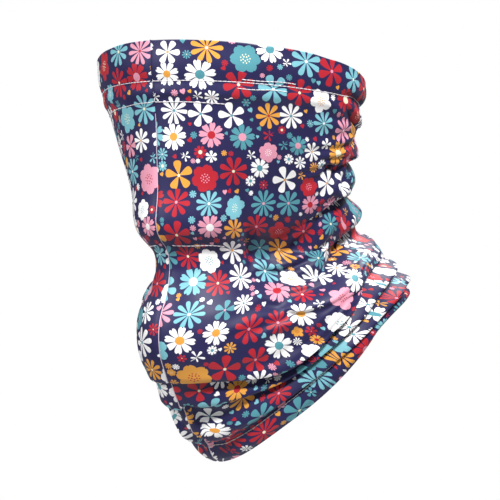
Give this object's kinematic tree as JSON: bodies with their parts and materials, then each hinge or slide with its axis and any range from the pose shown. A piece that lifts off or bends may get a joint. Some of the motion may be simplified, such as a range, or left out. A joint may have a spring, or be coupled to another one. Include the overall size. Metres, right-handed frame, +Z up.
{
  "type": "snood face covering",
  "caption": "Tube of thin printed stretch cloth for the face and neck, in its worn form: hemmed rim, front seam and folds bunched below the chin.",
  "frame": {"origin": "the middle of the top opening, where the head comes through", "axes": "+Z up, -Y the way the wearer faces, +X the wearer's left"},
  "size_m": [0.195, 0.2409, 0.285],
  "materials": {
    "printed_cloth": "matt stretch jersey, navy ground with a dense small floral print",
    "turned_cloth": "the same printed cloth, turned in at a hem",
    "cloth_reverse": "matt unprinted reverse of the cloth, pale with the print showing faintly",
    "thread": "pale sewing thread"
  },
  "bodies": {
    "root": {"tube": "printed_cloth", "top_hem": "turned_cloth", "bottom_hem": "turned_cloth", "front_seam": "cloth_reverse"}
  },
  "joints": []
}
